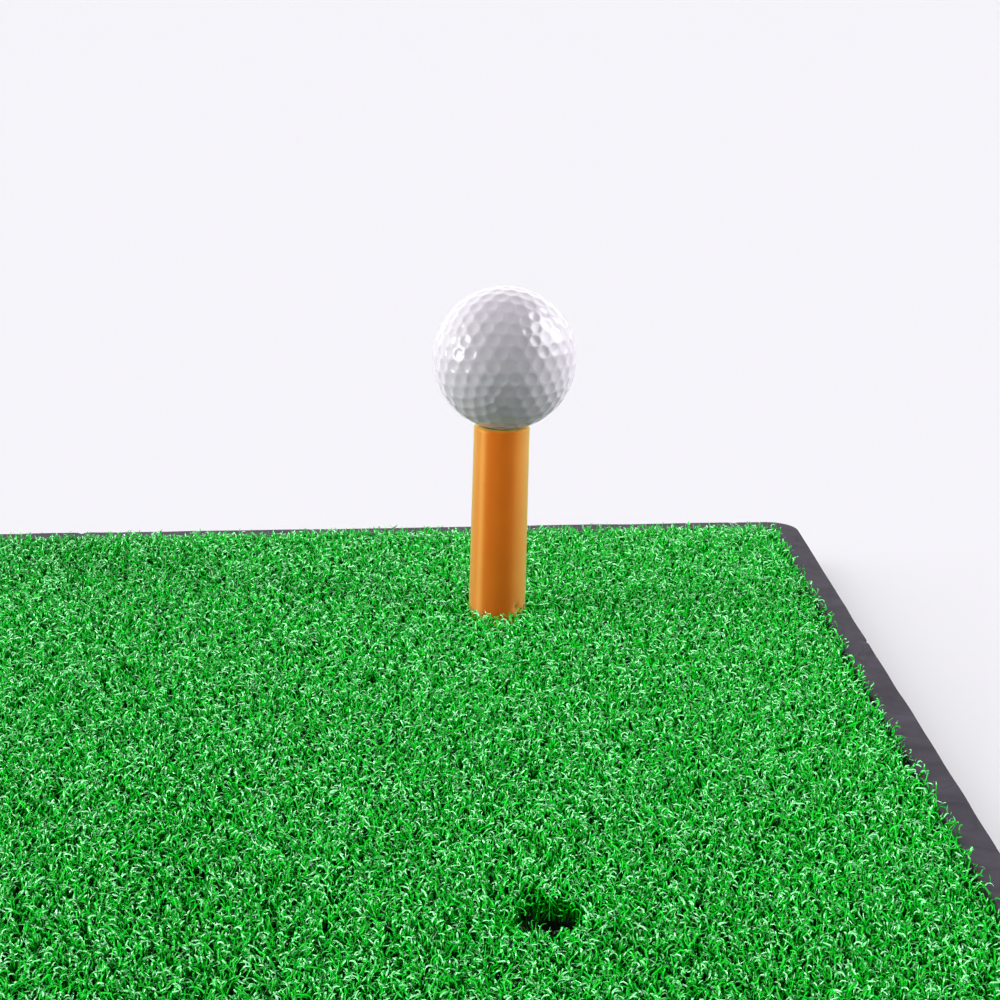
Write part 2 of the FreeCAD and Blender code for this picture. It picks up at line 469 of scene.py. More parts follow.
def strand_slots(line, tuft, rng):
    """A material slot for each ribbon face: painted shade at the foot, greens above, and at some tips the pale
    green as a painted highlight.
    """
    count, knots, _ = line.shape
    tufts = tuft.max() + 1
    tone = rng.random(tufts)[tuft] * 0.4 + rng.random(count) * 0.6
    own = np.select([tone < 0.34, tone < 0.60], [1, 3], default=2)
    slots = np.repeat(own[:, None], knots - 1, axis=1)
    height = (line[:, 1:, 2] + line[:, :-1, 2]) / 2
    depth = (height - TURF_FLOOR) / (TURF_TOP - TURF_FLOOR)
    slots[depth < rng.uniform(*SHADE_DEPTHS, count)[:, None]] = 0
    # Painted highlight: on some strands the faces near the top take the pale green.
    with_painted_sheen = rng.random(count) < PAINTED_HIGHLIGHT_SHARE
    crest = height > (height.max(axis=1) - rng.uniform(0.1, 0.7, count) * MM)[:, None]
    slots[with_painted_sheen[:, None] & crest & (depth > 0.85)] = 4
    return slots.ravel()


def hole_curls(rng):
    """Short curls that line the wall of the vacant hole, from the pile cut when it was punched."""
    around = rng.uniform(0, 2 * math.pi, HOLE_CURLS)
    away = HOLE_RADIUS + rng.uniform(-0.9, 0.9, HOLE_CURLS) * MM
    line = np.zeros((HOLE_CURLS, STRAND_STEPS + 1, 3))
    line[:, 0, 0] = VACANT_PLACE.x + away * np.cos(around)
    line[:, 0, 1] = VACANT_PLACE.y + away * np.sin(around)
    line[:, 0, 2] = TURF_FLOOR + rng.uniform(*CURL_HEIGHTS_MM, HOLE_CURLS) * MM
    direction = unit(random_directions(rng, HOLE_CURLS) * (1.0, 1.0, 0.6))
    axis = unit(np.cross(direction, random_directions(rng, HOLE_CURLS)))
    for index in range(STRAND_STEPS):
        line[:, index + 1] = line[:, index] + direction * STEP_LENGTH
        axis = unit(axis + 0.5 * random_directions(rng, HOLE_CURLS))
        direction = unit(direction + 0.45 * np.cross(axis, direction))
    line[..., 2] = np.minimum(line[..., 2], TURF_TOP - 0.5 * MM)
    offset = line[..., :2] - (VACANT_PLACE.x, VACANT_PLACE.y)
    reach = np.linalg.norm(offset, axis=2)
    held = np.clip(reach, *(HOLE_RADIUS + limit * MM for limit in CURL_REACH_MM))
    line[..., :2] = (VACANT_PLACE.x, VACANT_PLACE.y) + offset * (held / reach)[..., None]
    slots = np.where(rng.random((HOLE_CURLS, STRAND_STEPS)) < 0.65, 0, 1)
    return line, slots


def loose_fibres(rng):
    """A few long stray strands: one looping at the vacant hole, and pale ones lying on the pile."""
    lines, slots = [], []
    knots = STRAY_KNOTS
    for place_x, place_y, length, slot in STRAY_FIBRES:
        turn = rng.uniform(0, 2 * math.pi)
        bend = rng.normal(0.16, 0.05) * rng.choice((-1, 1))
        heights = CROWN_HEIGHT + 0.4 * MM + 0.5 * MM * np.sin(np.linspace(0, math.pi, knots))
        line = np.zeros((knots, 3))
        line[0] = (place_x, place_y, heights[0])
        for index in range(1, knots):
            turn += bend + rng.normal(0, 0.12)
            line[index] = line[index - 1]
            line[index, :2] += np.array([math.cos(turn), math.sin(turn)]) * length / (knots - 1)
            line[index, 2] = heights[index]
        lines.append(line)
        slots.append(np.full(knots - 1, slot))
    loop = np.radians(np.linspace(-30, 215, knots))
    ring = np.zeros((knots, 3))
    ring[:, 0] = VACANT_PLACE.x - 7.4 * MM + 2.3 * MM * np.cos(loop)
    ring[:, 1] = VACANT_PLACE.y + 3.5 * MM + 1.6 * MM * np.sin(loop)
    ring[:, 2] = TURF_TOP - 0.6 * MM + 1.2 * MM * np.sin(loop / 2)
    lines.append(ring)
    slots.append(np.full(knots - 1, 2))
    return np.array(lines), np.array(slots)


def make_turf():
    rng = np.random.default_rng(SEED)
    roots, tuft = tuft_roots(rng)
    line = keep_in_place(grow_strands(roots, rng), rng)
    slots = strand_slots(line, tuft, rng).reshape(len(line), -1)
    patch_x = ((roots[:, 0] - PILE_LOW.x) / (PILE_HIGH.x - PILE_LOW.x) * PATCHES_X).astype(int)
    patch_y = ((roots[:, 1] - PILE_LOW.y) / (PILE_HIGH.y - PILE_LOW.y) * PATCHES_Y).astype(int)
    meshes = []
    for column in range(PATCHES_X):
        for row in range(PATCHES_Y):
            chosen = (patch_x == column) & (patch_y == row)
            shape = ribbons(line[chosen], STRAND_WIDTH, rng)
            meshes.append((f"turf_patch_{column + 1}_{row + 1}", shape, slots[chosen].ravel()))
    curls, curl_slots = hole_curls(rng)
    meshes.append(("turf_hole_curls", ribbons(curls, STRAND_WIDTH, rng), curl_slots.ravel()))
    stray, stray_slots = loose_fibres(rng)
    stray_shape = ribbons(stray, STRAY_WIDTH, rng)
    meshes.append(("turf_loose_fibres", stray_shape, stray_slots.ravel()))
    materials = turf_materials()
    patches = []
    for name, (points, quads, normals), patch_slots in meshes:
        patch = mesh_from_arrays(name, points, quads, patch_slots, normals)
        for material in materials:
            patch.data.materials.append(material)
        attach(patch, "mat")
        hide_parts("turf_pile")
        patches.append(patch)
    return patches


# ---- Tee: one moulding, bending between its foot and its shaft ----

TEE_SEGMENTS = 72
TEE_WALL_BORE = 5.2 * MM
TEE_SEAT_RADIUS = 6.5 * MM
TEE_LIP_ROUND = 0.8 * MM
TEE_STEM_RADIUS = 8.6 * MM
TEE_TOP_RADIUS = 8.35 * MM
TEE_FLANGE_ROUND = 0.8 * MM
TEE_FLANGE_TOP = 3.1 * MM
BORE_ROUND = 0.6 * MM
MOUTH_ROUND = 0.5 * MM
BASE_ROUND = 0.3 * MM
FOOT_BORE_TOP = 20 * MM
SHAFT_BORE_FLOOR = 46 * MM
TEE_TOP = TURF_TOP + 58 * MM
# Below this height the foot's base colour is shifted by the tone below: partly real scuffing, partly a painted
# sheen.
SCUFF_AND_SHEEN_TOP = TURF_TOP + 21 * MM
SCUFF_AND_SHEEN_FADE = 1.5 * MM
SCUFF_AND_PAINTED_SHEEN_TONE = (0.96, 1.02, 1.4, 1)
# Painted shade in the nick: the share that the base colour darkens to at its middle.
NICK_PAINTED_SHADE = 0.2
TEE_NICK_TURN_DEG = -50
TEE_NICK_RADIUS = 0.8 * MM
TEE_NICK_DEPTH = 0.8 * MM
TEE_NICK = (
    TEE_PLACE.x + TEE_STEM_RADIUS * math.cos(math.radians(TEE_NICK_TURN_DEG)),
    TEE_PLACE.y + TEE_STEM_RADIUS * math.sin(math.radians(TEE_NICK_TURN_DEG)),
    TURF_TOP + 3.2 * MM,
)
LEAN_SLOPE = (BALL_CENTRE.x - TEE_PLACE.x) / (BALL_CENTRE.z - TEE_PLACE.z)
LEAN_TOP_OFFSET = LEAN_SLOPE * (TEE_TOP - TEE_PLACE.z)


def arc(centre, radius, start_deg, end_deg, steps):
    """Points on an arc in the (radius, height) plane of a turned profile."""
    angles = np.radians(np.linspace(start_deg, end_deg, steps))
    return [(centre[0] + radius * math.cos(a), centre[1] + radius * math.sin(a)) for a in angles]


def straight(start, end, steps):
    """Evenly spaced points after start, up to and with end."""
    shares = np.linspace(0, 1, steps + 1)[1:]
    return [(start[0] + (end[0] - start[0]) * s, start[1] + (end[1] - start[1]) * s) for s in shares]


def tee_profile():
    """The tee's outline from the bore in its foot, round the outside, to the bore in its shaft."""
    low = FOOT_LOW.z
    flange_radius = (FOOT_HIGH.y - FOOT_LOW.y) / 2
    bore_centre = TEE_WALL_BORE - BORE_ROUND
    mouth_centre = TEE_WALL_BORE + MOUTH_ROUND
    base_centre = flange_radius - BASE_ROUND
    shoulder = (flange_radius - TEE_FLANGE_ROUND, TEE_FLANGE_TOP - TEE_FLANGE_ROUND)
    lip = (TEE_TOP_RADIUS - TEE_LIP_ROUND, TEE_TOP - TEE_LIP_ROUND)
    points = [(0.0, FOOT_BORE_TOP)]
    points += straight(points[-1], (bore_centre, FOOT_BORE_TOP), 2)
    points += arc((bore_centre, FOOT_BORE_TOP - BORE_ROUND), BORE_ROUND, 90, 0, 4)[1:]
    points += straight(points[-1], (TEE_WALL_BORE, low + MOUTH_ROUND), 6)
    points += arc((mouth_centre, low + MOUTH_ROUND), MOUTH_ROUND, 180, 270, 4)[1:]
    points += straight(points[-1], (base_centre, low), 8)
    points += arc((base_centre, low + BASE_ROUND), BASE_ROUND, -90, 0, 4)[1:]
    points += straight(points[-1], (flange_radius, shoulder[1]), 2)
    points += arc(shoulder, TEE_FLANGE_ROUND, 0, 90, 6)[1:]
    points += straight(points[-1], (TEE_STEM_RADIUS, TEE_FLANGE_TOP), 6)
    points += straight(points[-1], (TEE_STEM_RADIUS, TURF_TOP), 8)
    points += straight(points[-1], (TEE_TOP_RADIUS, lip[1]), 60)
    points += arc(lip, TEE_LIP_ROUND, 0, 90, 7)[1:]
    points += straight(points[-1], (TEE_SEAT_RADIUS, TEE_TOP), 2)
    points += straight(points[-1], (TEE_WALL_BORE, TEE_TOP - (TEE_SEAT_RADIUS - TEE_WALL_BORE)), 3)
    points += straight(points[-1], (TEE_WALL_BORE, SHAFT_BORE_FLOOR + BORE_ROUND), 20)
    points += arc((bore_centre, SHAFT_BORE_FLOOR + BORE_ROUND), BORE_ROUND, 0, -90, 4)[1:]
    points += straight(points[-1], (0.0, SHAFT_BORE_FLOOR), 2)
    return points


def turned(name, profile, segments, place):
    """A closed solid of revolution about an upright axis. The profile starts and ends on the axis."""
    work = bmesh.new()
    rings = []
    for radius, height in profile:
        if radius < 1e-7:
            rings.append(add_ring(work, [(place.x, place.y, height)]))
            continue
        rings.append(circle(work, place, radius, height, segments))
    for lower, upper in zip(rings, rings[1:]):
        for index in range(segments):
            following = (index + 1) % segments
            corners = [lower[index % len(lower)], lower[following % len(lower)]]
            corners += [upper[following % len(upper)], upper[index % len(upper)]]
            work.faces.new(list(dict.fromkeys(corners)))
    return finished(work, name)


def remember_rest(obj):
    """Stores each point's rest place, so that a pattern stays put while the piece bends."""
    places = np.zeros(len(obj.data.vertices) * 3, np.float32)
    obj.data.vertices.foreach_get("co", places)
    attribute = obj.data.attributes.new("rest_place", "FLOAT_VECTOR", "POINT")
    attribute.data.foreach_set("vector", places)


def tee_material():
    """Translucent amber rubber, drawn out along its length, with a duller and scuffed foot whose tone is partly a
    painted sheen, and painted shade in a nick.
    """
    material, shader = new_material(
        "tee_rubber",
        (0.96, 0.15, 0.001),
        0.44,
        IOR=1.6,
        Anisotropic=0.9,
        Anisotropic_Rotation=0.25,
        Specular_Tint=(1.0, 1.0, 0.25, 1),
        Specular_IOR_Level=1.0,
        Sheen_Weight=0.9,
        Sheen_Roughness=0.6,
        Sheen_Tint=(0.55, 1.0, 0.2, 1),
    )
    tangent = add_node(material, "ShaderNodeTangent")
    tangent.direction_type = "RADIAL"
    tangent.axis = "Z"
    connect(material, tangent.outputs["Tangent"], shader.inputs["Tangent"])
    place = stored(material, "rest_place", "Vector")
    cloud = noise(material, place, Scale=140.0, Detail=5.0)
    tones = ramp(material, cloud, (0.3, (0.94, 0.132, 0.001)), (0.72, (0.98, 0.158, 0.001)))
    split = add_node(material, "ShaderNodeSeparateXYZ")
    connect(material, place, split.inputs["Vector"])
    # Painted sheen mixed with real scuffing: the foot's base colour is multiplied by a tone with less red and more
    # green and blue.
    scuff_and_sheen_zone = remap(material, split.outputs["Z"], (SCUFF_AND_SHEEN_TOP - SCUFF_AND_SHEEN_FADE, SCUFF_AND_SHEEN_TOP), (1.0, 0.0))
    with_painted_sheen = multiplied(material, tones, SCUFF_AND_PAINTED_SHEEN_TONE, scuff_and_sheen_zone)
    # Painted shade: the base colour darkens towards the middle of the nick.
    away = vector_math(material, "DISTANCE", place, TEE_NICK)
    painted_nick_shade = remap(material, away, (0.3 * MM, TEE_NICK_RADIUS), (NICK_PAINTED_SHADE, 1.0))
    connect(material, multiplied(material, with_painted_sheen, painted_nick_shade), shader.inputs["Base Color"])
    add_bump(material, shader, noise(material, place, Scale=2600.0, Detail=3.0), 0.12, 0.15 * MM)
    return material


def make_tee():
    tee = turned("tee_skin", tee_profile(), TEE_SEGMENTS, TEE_PLACE)
    remember_rest(tee)
    for vertex in tee.data.vertices:
        near = math.exp(-(((vertex.co - Vector(TEE_NICK)).length / TEE_NICK_RADIUS) ** 2))
        vertex.co.x -= near * TEE_NICK_DEPTH * math.cos(math.radians(TEE_NICK_TURN_DEG))
        vertex.co.y -= near * TEE_NICK_DEPTH * math.sin(math.radians(TEE_NICK_TURN_DEG))
        rise = max(0.0, vertex.co.z - TURF_TOP) / (TEE_TOP - TURF_TOP)
        slope = LEAN_TOP_OFFSET / (TEE_TOP - TURF_TOP) * min(1.0, rise * 12)
        vertex.co.z -= (vertex.co.x - TEE_PLACE.x) * slope
        vertex.co.x += rise * LEAN_TOP_OFFSET
    tee.data.materials.append(tee_material())
    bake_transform(tee)
    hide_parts("tee_foot", "tee_shaft")


# ---- Ball: dimples in rings around the points of a geodesic grid ----

DIMPLE_FREQUENCY = 6
DIMPLE_RADIUS_SHARE = 0.445
DIMPLE_CELL_SHARE = 0.90
DIMPLE_DEPTH = 0.26 * MM
CELL_SIDE_STEPS = 5
CELL_RINGS = (0.25, 0.50, 0.70, 0.82, 0.90, 0.98, 1.08)
DIMPLE_SHOULDER = 0.84
BALL_TURN_DEG = 18
BALL_TIP_DEG = 26


def geodesic_grid(frequency):
    """Unit points of a subdivided icosahedron, and its triangles."""
    golden = (1 + math.sqrt(5)) / 2
    corners = []
    for a in (-1, 1):
        for b in (-golden, golden):
            corners += [Vector((0, a, b)), Vector((a, b, 0)), Vector((b, 0, a))]
    corners = [corner.normalized() for corner in corners]
    side = min((corners[0] - other).length for other in corners[1:])
    points, index_of, triangles = [], {}, []

    def index(point):
        key = tuple(round(value, 6) for value in point)
        if key not in index_of:
            index_of[key] = len(points)
            points.append(point)
        return index_of[key]

    for trio in itertools.combinations(corners, 3):
        sides = [(trio[i] - trio[i - 1]).length for i in range(3)]
        if max(sides) > side * 1.01:
            continue
        grid = {}
        for i in range(frequency + 1):
            for j in range(frequency + 1 - i):
                k = frequency - i - j
                mixed = (trio[0] * i + trio[1] * j + trio[2] * k) / frequency
                grid[i, j] = index(mixed.normalized())
        for i in range(frequency):
            for j in range(frequency - i):
                triangles.append((grid[i, j], grid[i + 1, j], grid[i, j + 1]))
                if i + j < frequency - 1:
                    triangles.append((grid[i + 1, j], grid[i + 1, j + 1], grid[i, j + 1]))
    return points, triangles


def dimple_profile(share):
    """How deep a dimple is at a share of its radius: a round cup with a soft shoulder."""
    if share < DIMPLE_SHOULDER:
        return 1 - share**2
    edge = CELL_RINGS[-1]
    left = (edge - share) / (edge - DIMPLE_SHOULDER)
    return (1 - DIMPLE_SHOULDER**2) * max(0.0, left) ** 1.5


def dimpled_sphere(name, radius, centre, turn):
    """A sphere whose surface has one dimple in each cell of the geodesic grid."""
    points, triangles = geodesic_grid(DIMPLE_FREQUENCY)
    around = {index: [] for index in range(len(points))}
    for triangle in triangles:
        middle = sum((points[i] for i in triangle), Vector()).normalized()
        for i in triangle:
            around[i].append(middle)
    spacing = math.sqrt(4 * math.pi / len(points) / (math.sqrt(3) / 2))
    dimple = spacing * DIMPLE_RADIUS_SHARE
    work = bmesh.new()
    for index, corners in around.items():
        axis = points[index]
        first = (corners[0] - axis * corners[0].dot(axis)).normalized()
        second = axis.cross(first)
        corners.sort(key=lambda corner: math.atan2(corner.dot(second), corner.dot(first)))
        border = []
        for corner, following in zip(corners, corners[1:] + corners[:1]):
            for step in range(CELL_SIDE_STEPS):
                border.append(corner.lerp(following, step / CELL_SIDE_STEPS).normalized())
        reach = min(axis.angle(edge) for edge in border)
        radius_here = min(dimple, DIMPLE_CELL_SHARE * reach)
        depth_here = DIMPLE_DEPTH * radius_here / dimple
        rings = []
        for share in CELL_RINGS:
            depth = dimple_profile(share) * depth_here
            ring = []
            for edge in border:
                flat = (edge - axis * edge.dot(axis)).normalized()
                angle = radius_here * share
                spot = (axis * math.cos(angle) + flat * math.sin(angle)) * (radius - depth)
                ring.append(work.verts.new(spot))
            rings.append(ring)
        rings.append([work.verts.new(edge * radius) for edge in border])
        middle = work.verts.new(axis * (radius - depth_here))
        for first_edge, next_edge in zip(rings[0], rings[0][1:] + rings[0][:1]):
            work.faces.new((middle, next_edge, first_edge))
        for inner, outer in zip(rings, rings[1:]):
            join_rings(work, inner, outer)
    bmesh.ops.remove_doubles(work, verts=work.verts, dist=radius * 1e-4)
    bmesh.ops.transform(work, matrix=Matrix.Translation(centre) @ turn, verts=work.verts)
    return finished(work, name)


def ball_material():
    material, shader = new_material(
        "ball_cover",
        (0.86, 0.815, 0.89),
        0.35,
        IOR=1.5,
        Specular_IOR_Level=0.1,
        Coat_Weight=1.0,
        Coat_Roughness=0.03,
    )
    peel = noise(material, object_place(material), Scale=900.0, Detail=2.0)
    add_bump(material, shader, peel, 0.05, 0.1 * MM)
    return material


def make_ball():
    turn = Matrix.Rotation(math.radians(BALL_TURN_DEG), 4, "Z")
    turn = turn @ Matrix.Rotation(math.radians(BALL_TIP_DEG), 4, "X")
    ball = dimpled_sphere("dimpled_ball", BALL_RADIUS, BALL_CENTRE, turn)
    ball.data.materials.append(ball_material())
    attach(ball, "ball")
    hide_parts("ball_cover")


# ---- Tray: a rim swept round the rounded rectangle, a floor and an underside with holes ----

CORNER_RADIUS = 10 * MM
POCKET_CORNER_RADIUS = 2 * MM
RIM_WIDTH = 9 * MM
RIM_OUTER_ROUND = 0.8 * MM
RIM_INNER_ROUND = 0.8 * MM
UNDERSIDE_CHAMFER = 0.6 * MM
TRAY_FLOOR = 6 * MM
FLANGE_POCKET_RADIUS = 21 * MM
FLANGE_POCKET_DEPTH = 3.4 * MM
SIDE_STEP = 1.25 * MM
CORNER_STEPS = 10
HOLE_SEGMENTS = 72
RIM_WAVE = 0.16 * MM

# Small nicks in the rim's outer edge: place, half width and depth
RIM_NICKS = (
    (0.3000, 0.0740, 1.1 * MM, 0.7 * MM),
    (0.2790, 0.2000, 0.9 * MM, 0.5 * MM),
    (0.0556, 0.2000, 1.0 * MM, 0.6 * MM),
    (-0.1320, 0.2000, 1.0 * MM, 0.5 * MM),
    (-0.3000, -0.0910, 1.2 * MM, 0.6 * MM),
    (-0.0480, -0.2000, 1.0 * MM, 0.6 * MM),
)


def rounded_outline(offset, radius):
    """Points round the mat's outline, moved inwards by offset, with corners of that radius."""
    reach_x = TRAY_HIGH.x - offset - radius
    reach_y = TRAY_HIGH.y - offset - radius
    centres = [Vector((a * reach_x, b * reach_y)) for a, b in ((1, 1), (-1, 1), (-1, -1), (1, -1))]
    points = []
    for index, centre in enumerate(centres):
        angles = np.radians(90 * index + np.linspace(0, 90, CORNER_STEPS + 1))
        spokes = [Vector((math.cos(angle), math.sin(angle))) * radius for angle in angles]
        points += [centre + spoke for spoke in spokes[:-1]]
        begin = centre + spokes[-1]
        finish = centres[(index + 1) % 4] + spokes[-1]
        steps = int(2 * (TRAY_HIGH.x, TRAY_HIGH.y)[index % 2] / SIDE_STEP)
        points += [begin.lerp(finish, step / steps) for step in range(steps)]
    return np.array([tuple(point) for point in points])


def tray_profile():
    """The rim's section as (offset from the outline, height, how far it may wave)."""
    inner = RIM_WIDTH - RIM_INNER_ROUND
    section = [(RIM_WIDTH + 3 * MM, TRAY_FLOOR, 0), (RIM_WIDTH + 0.5 * MM, TRAY_FLOOR, 0)]
    section += [(RIM_WIDTH + 0.15 * MM, TRAY_FLOOR + 0.15 * MM, 0)]
    section += [(RIM_WIDTH, TRAY_FLOOR + 0.5 * MM, 0), (RIM_WIDTH, TRAY_FLOOR + 3 * MM, 0.3)]
    section += [(RIM_WIDTH, RIM_TOP - RIM_INNER_ROUND, 0.8)]
    crest = arc((inner, RIM_TOP - RIM_INNER_ROUND), RIM_INNER_ROUND, 22.5, 90, 4)
    crest += straight(crest[-1], (RIM_OUTER_ROUND, RIM_TOP), 5)[:-1]
    crest += arc((RIM_OUTER_ROUND, RIM_TOP - RIM_OUTER_ROUND), RIM_OUTER_ROUND, 90, 180, 5)
    section += [(*point, 1) for point in crest]
    section += [(0, 9 * MM, 0.9), (0, 6 * MM, 0.7), (0, 3 * MM, 0.5), (0, UNDERSIDE_CHAMFER, 0.3)]
    section += [(0.5 * UNDERSIDE_CHAMFER, 0.2 * UNDERSIDE_CHAMFER, 0)]
    section += [(UNDERSIDE_CHAMFER, 0, 0), (4 * MM, 0, 0)]
    return section


def wave_rim(points, weight, rng_seed):
    """Gentle unevenness of a moulded rubber rim, up and down and in and out."""
    rng = np.random.default_rng(rng_seed)
    lift = clouds(points[:, 0], points[:, 1], rng, (0.018, 0.05, 0.16))
    shift_x = clouds(points[:, 0], points[:, 1], rng, (0.03, 0.10))
    shift_y = clouds(points[:, 0], points[:, 1], rng, (0.03, 0.10))
    amount = RIM_WAVE * weight
    points[:, 2] += lift * amount * 0.6
    points[:, 0] += shift_x * amount
    points[:, 1] += shift_y * amount
    for x, y, half_width, depth in RIM_NICKS:
        near = np.exp(-(((points[:, 0] - x) ** 2 + (points[:, 1] - y) ** 2) / half_width**2))
        near *= weight * (points[:, 2] > RIM_TOP - 3 * MM)
        points[:, 2] -= near * depth
        points[:, 0] -= near * depth * 0.6 * (abs(x) >= TRAY_HIGH.x - MM) * math.copysign(1, x)
        points[:, 1] -= near * depth * 0.6 * (abs(y) >= TRAY_HIGH.y - MM) * math.copysign(1, y)


def ring_edges(work, ring):
    pairs = list(zip(ring, ring[-1:] + ring[:-1]))
    return [work.edges.get(pair) or work.edges.new(pair) for pair in pairs]


def fill_between(work, rings):
    edges = [edge for ring in rings for edge in ring_edges(work, ring)]
    bmesh.ops.triangle_fill(work, use_beauty=True, edges=edges)


def tray_material():
    """Dark rubber with soft clouds, thin moulding ripples, a fine grain and painted shade along its outer edge."""
    material, shader = new_material("tray_rubber", (0.07, 0.06, 0.085), 0.7, Specular_IOR_Level=0.25)
    place = object_place(material)
    cloud = noise(material, place, Scale=70.0, Detail=6.0, Distortion=0.8)
    tones = ramp(material, cloud, (0.32, (0.044, 0.036, 0.055)), (0.72, (0.084, 0.072, 0.100)))
    ripple = noise(material, place, Scale=30.0, Detail=1.0, Distortion=2.2)
    streak = ramp(material, ripple, (0.44, (1, 1, 1)), (0.5, (0.80, 0.78, 0.80)), (0.53, (1, 1, 1)))
    # Painted shade: the base colour darkens within about a millimetre of the outer edge.
    edge = remap(material, stored(material, "from_outline", "Fac"), (0.1 * MM, 1.0 * MM), (0.12, 1.0))
    tones_with_painted_edge_shade = multiplied(material, multiplied(material, tones, streak), edge)
    connect(material, tones_with_painted_edge_shade, shader.inputs["Base Color"])
    add_bump(material, shader, noise(material, place, Scale=2200.0, Detail=2.0), 0.25, 0.2 * MM)
    return material


def make_tray():
    work = bmesh.new()
    from_outline = work.verts.layers.float.new("from_outline")
    rings = []
    for offset, height, weight in tray_profile():
        radius = CORNER_RADIUS + (POCKET_CORNER_RADIUS - CORNER_RADIUS) * min(1.0, offset / RIM_WIDTH)
        outline = rounded_outline(offset, radius)
        points = np.column_stack([outline, np.full(len(outline), height)])
        wave_rim(points, weight, SEED + 1)
        rings.append(add_ring(work, points))
        for vertex in rings[-1]:
            vertex[from_outline] = offset
    for first, second in zip(rings, rings[1:]):
        join_rings(work, first, second)
    floor_rings, under_rings = [rings[0]], [rings[-1]]
    for place in (TEE_PLACE, VACANT_PLACE):
        stack = [
            circle(work, place, radius, height, HOLE_SEGMENTS)
            for radius, height in (
                (HOLE_RADIUS, TRAY_FLOOR),
                (HOLE_RADIUS, FLANGE_POCKET_DEPTH),
                (FLANGE_POCKET_RADIUS, FLANGE_POCKET_DEPTH),
                (FLANGE_POCKET_RADIUS, 0.3 * MM),
                (FLANGE_POCKET_RADIUS + 0.3 * MM, 0.0),
            )
        ]
        for first, second in zip(stack, stack[1:]):
            join_rings(work, first, second)
        for vertex in [vertex for ring in stack for vertex in ring]:
            vertex[from_outline] = RIM_WIDTH
        floor_rings.append(stack[0])
        under_rings.append(stack[-1])
    fill_between(work, floor_rings)
    fill_between(work, under_rings)
    tray = finished(work, "rubber_tray", 35)
    tray.data.materials.append(tray_material())
    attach(tray, "mat")
    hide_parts("rubber_base")


# ---- Backings under the pile: woven cloth, latex, glue, and the ball's core ----

THREAD_PITCH = 1.1 * MM


def weave_material():
    material, shader = new_material("woven_cloth", (0.004, 0.05, 0.008), 0.8)
    split = add_node(material, "ShaderNodeSeparateXYZ")
    connect(material, object_place(material), split.inputs["Vector"])
    waves = []
    for axis in ("X", "Y"):
        turns = math_node(material, "MULTIPLY", split.outputs[axis], 2 * math.pi / THREAD_PITCH)
        waves.append(math_node(material, "SINE", turns))
    crossed = math_node(material, "MULTIPLY", *waves)
    tones = remap(material, crossed, (-1.0, 1.0), (0.0, 1.0))
    color = ramp(material, tones, (0.0, (0.002, 0.020, 0.004)), (1.0, (0.008, 0.080, 0.014)))
    connect(material, color, shader.inputs["Base Color"])
    add_bump(material, shader, crossed, 0.6, 0.3 * MM)
    return material


def make_woven_backing():
    """The cloth that the pile is tufted through, laid flat in the tray and punched at the holes."""
    low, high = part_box("woven_backing")
    work = bmesh.new()
    outline = rounded_outline(TRAY_HIGH.x - high.x, POCKET_CORNER_RADIUS)[:: CORNER_STEPS // 2]
    layers = []
    for height in (low.z, high.z):
        sides = [add_ring(work, np.column_stack([outline, np.full(len(outline), height)]))]
        for place in (TEE_PLACE, VACANT_PLACE):
            sides.append(circle(work, place, HOLE_RADIUS, height, HOLE_SEGMENTS))
        layers.append(sides)
    for lower, upper in zip(*layers):
        join_rings(work, lower, upper)
    for sides in layers:
        fill_between(work, sides)
    cloth = finished(work, "woven_cloth_backing", 35)
    cloth.data.materials.append(weave_material())
    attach(cloth, "mat")
    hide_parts("woven_backing")


def mottled(name, dark, light, scale, roughness):
    """A plain moulded or cast material with soft clouds of two tones."""
    material, shader = new_material(name, light, roughness)
    cloud = noise(material, object_place(material), Scale=scale, Detail=5.0)
    tones = ramp(material, cloud, (0.35, dark), (0.68, light))
    connect(material, tones, shader.inputs["Base Color"])
    add_bump(material, shader, cloud, 0.3, 0.3 * MM)
    return material


def dress(node, material):
    mesh = frame["nodes"][node].data
    mesh.materials.clear()
    mesh.materials.append(material)


def dress_cad_nodes():
    dress("adhesive_film", mottled("adhesive", (0.20, 0.16, 0.08), (0.38, 0.32, 0.18), 260.0, 0.4))
    dress("latex_backing", mottled("latex", (0.012, 0.014, 0.012), (0.035, 0.040, 0.035), 420.0, 0.75))
    dress("ball_core", mottled("ball_core", (0.14, 0.17, 0.22), (0.22, 0.25, 0.30), 300.0, 0.6))


# ---- Studio: floor, sky with softboxes, camera ----

FLOOR_SIZE = 24.0
FLOOR_DROP = 0.2 * MM
FLOOR_COLOR = (0.935, 0.926, 0.960)
CAMERA_PLACE = Vector((0.1546, -0.5739, 0.2415))
CAMERA_YAW_DEG = -3.23
CAMERA_PITCH_DEG = 15.80
CAMERA_LENS = 84.52
SENSOR_WIDTH = 36.0

# Softboxes: direction they lie in (azimuth from +X, elevation), half width and half height, strength
SOFTBOXES = (
    (178.0, 27.0, 27.0, 26.0, 1.0),
    (0.0, 27.0, 27.0, 26.0, 2.1),
)
LEFT_BOX_FROM_DEG = (-175.0, 13.0)
BOX_DISTANCE = 4.0
LEFT_BOX_HALF_SIZE_DEG = (11.5, 13.0)
LEFT_BOX_RADIANCE = 6.3
RIGHT_WINDOW_FROM_DEG = (-2.0, 32.0)
RIGHT_WINDOW_HALF_SIZE_DEG = (25.0, 18.0)
RIGHT_WINDOW_RADIANCE = 3.2

# Lamps that fall on the turf alone: direction, strength, spread, and whether the tee and ball shade it
TURF_LAMPS = (
    ("turf_left", (-176.0, 18.0), 5.4, 7.0, True),
    ("turf_right", (-22.0, 28.0), 3.0, 10.0, True),
    ("turf_front", (-112.0, 24.0), 7.5, 10.0, False),
)
